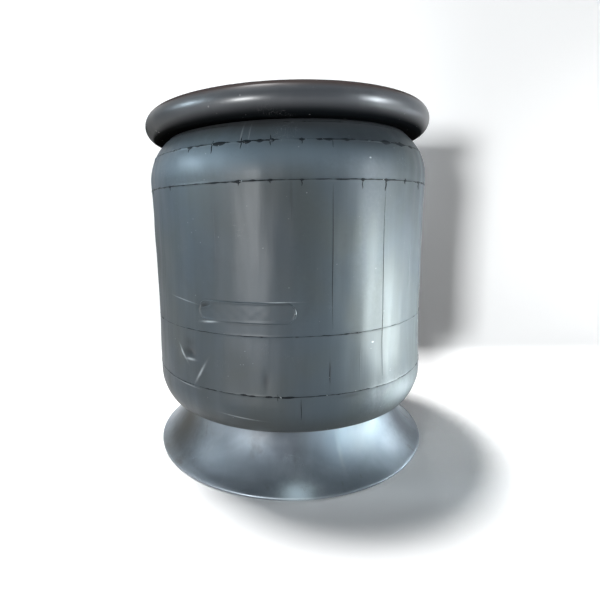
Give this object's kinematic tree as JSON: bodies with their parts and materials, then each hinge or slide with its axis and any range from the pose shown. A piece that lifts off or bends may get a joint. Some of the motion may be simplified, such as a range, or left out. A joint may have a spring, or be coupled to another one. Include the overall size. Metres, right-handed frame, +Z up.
{
  "type": "air suspension spring",
  "caption": "Rolling lobe air spring with a rolled-rim top plate, a rubber sleeve and a flared steel piston that stands on its skirt.",
  "frame": {"origin": "middle of the base, on the plane that the skirt and the base cup stand on", "axes": "+Z up along the spring's axis, towards the top plate; the label pad faces -Y, a little to -X, and the studs stand on +Y's side of the axis"},
  "size_m": [0.237, 0.237, 0.3024],
  "materials": {
    "rim_paint": "glossy very dark brown-black coating",
    "zinc": "zinc-plated steel",
    "bare_steel": "oiled pressed steel",
    "cover_rubber": "satin grey moulded rubber with seams and a faint bloom",
    "cord_ply": "rubberised cord fabric",
    "liner_rubber": "smooth black rubber",
    "bumper_rubber": "matt black rubber",
    "bead_steel": "bronze-coated bead wire",
    "piston_steel": "glossy dark steel-blue coating"
  },
  "bodies": {
    "piston": {"piston_shell": "piston_steel", "piston_head_disc": "bare_steel", "centre_column": "bare_steel", "column_gussets": "bare_steel", "base_cup": "piston_steel", "base_weld_nuts": "zinc", "lower_end_closure": "bare_steel", "closure_seal_ring": "liner_rubber", "lower_bead_wire": "bead_steel", "bumper_plate": "bare_steel", "bump_stop": "bumper_rubber", "piston_bolt": "zinc", "bolt_washer": "zinc", "piston_nut": "zinc"},
    "sleeve": {"sleeve_cover": "cover_rubber", "outer_ply": "cord_ply", "inner_ply": "cord_ply", "sleeve_liner": "liner_rubber", "label_pad": "cover_rubber"},
    "top_plate": {"top_bead_plate": "rim_paint", "mounting_stud": "zinc", "air_stud": "zinc", "stud_weld_flanges": "bare_steel", "upper_bead_wire": "bead_steel"}
  },
  "joints": [
    {"name": "plate_stroke", "type": "slide", "parent": "sleeve", "child": "top_plate", "axis": [0, 0, 1], "range_m": [0, 0.1]},
    {"name": "lobe_roll", "type": "slide", "parent": "piston", "child": "sleeve", "axis": [0, 0, 1], "range_m": [0, 0.1], "deforming": ["sleeve_cover", "outer_ply", "inner_ply", "sleeve_liner"]}
  ],
  "couplings": [
    {"joint": "lobe_roll", "follows": "plate_stroke", "ratio": 1}
  ]
}
